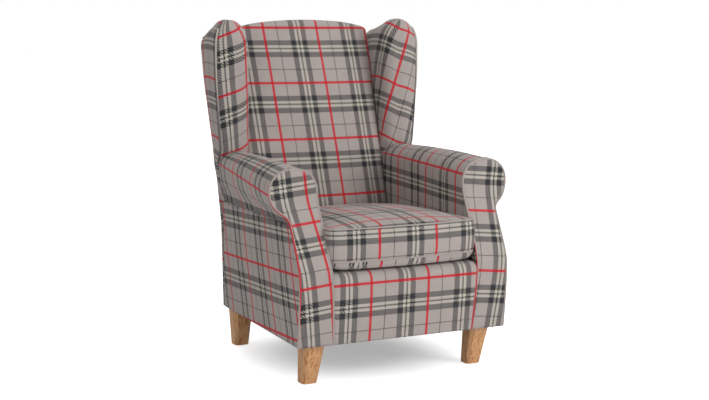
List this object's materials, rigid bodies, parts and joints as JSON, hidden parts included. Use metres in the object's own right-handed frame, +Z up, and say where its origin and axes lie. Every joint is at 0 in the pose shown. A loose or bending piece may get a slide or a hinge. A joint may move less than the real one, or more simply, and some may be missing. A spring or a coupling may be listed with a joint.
{
  "type": "fireside chair",
  "caption": "Upholstered fireside chair with a winged back, rolled arms, serpentine arm fronts, a loose piped seat cushion and short raked timber legs.",
  "frame": {"origin": "on the floor under the middle of the chair", "axes": "+Z up, the chair faces -Y, +X to the right of somebody who faces the chair"},
  "size_m": [0.786, 0.7903, 1.048],
  "materials": {
    "tartan_cloth": "brushed wool-look twill in a tartan",
    "tartan_piping": "the same cloth cut on the bias round a cord",
    "oiled_oak": "oiled, satin",
    "frame_timber": "sawn beech",
    "foam": "upholstery foam and wadding",
    "spring_steel": "black-oiled wire",
    "plated_steel": "zinc plated",
    "jute_webbing": "woven jute",
    "deck_lining": "plain woven lining",
    "dust_lining": "black spun cloth",
    "felt": "pressed felt",
    "zip_tape": "woven tape with a moulded coil",
    "zip_metal": "antique plated"
  },
  "bodies": {
    "root": {"back_lower_rail": "frame_timber", "back_pad": "foam", "back_seat_rail": "frame_timber", "back_top_rail": "frame_timber", "back_webbing": "jute_webbing", "corner_blocks": "frame_timber", "deck_cloth": "deck_lining", "deck_pad": "foam", "dust_cloth": "dust_lining", "front_border_cover": "tartan_cloth", "front_border_pad": "foam", "front_left_leg": "oiled_oak", "front_right_leg": "oiled_oak", "front_seat_rail": "frame_timber", "inside_back_cover": "tartan_cloth", "left_arm_cover": "tartan_cloth", "left_arm_pad": "foam", "left_arm_post": "frame_timber", "left_arm_rail": "frame_timber", "left_back_post": "frame_timber", "left_facing_cover": "tartan_cloth", "left_facing_pad": "foam", "left_outside_arm_panel": "tartan_cloth", "left_outside_arm_wadding": "foam", "left_seat_rail": "frame_timber", "left_tack_rail": "frame_timber", "left_wing_board": "frame_timber", "left_wing_cover": "tartan_cloth", "left_wing_foot": "tartan_cloth", "left_wing_pad": "foam", "leg_bolts": "plated_steel", "leg_glides": "felt", "outside_back_panel": "tartan_cloth", "rear_left_leg": "oiled_oak", "rear_right_leg": "oiled_oak", "right_arm_cover": "tartan_cloth", "right_arm_pad": "foam", "right_arm_post": "frame_timber", "right_arm_rail": "frame_timber", "right_back_post": "frame_timber", "right_facing_cover": "tartan_cloth", "right_facing_pad": "foam", "right_outside_arm_panel": "tartan_cloth", "right_outside_arm_wadding": "foam", "right_seat_rail": "frame_timber", "right_tack_rail": "frame_timber", "right_wing_board": "frame_timber", "right_wing_cover": "tartan_cloth", "right_wing_foot": "tartan_cloth", "right_wing_pad": "foam", "seat_springs": "spring_steel", "spring_clips": "plated_steel", "tee_nuts": "plated_steel"},
    "seat_cushion": {"cushion_core": "foam", "cushion_cover": "tartan_cloth", "cushion_piping": "tartan_piping", "cushion_zip": "zip_tape"},
    "zip_slider": {"zip_slider": "zip_metal"}
  },
  "joints": [
    {"name": "cushion_lift", "type": "slide", "parent": "root", "child": "seat_cushion", "axis": [0, -0.9403, 0.3404], "range_m": [0, 0.62]},
    {"name": "zip_slide", "type": "slide", "parent": "seat_cushion", "child": "zip_slider", "axis": [1, 0, 0], "range_m": [0, 0.336]}
  ]
}
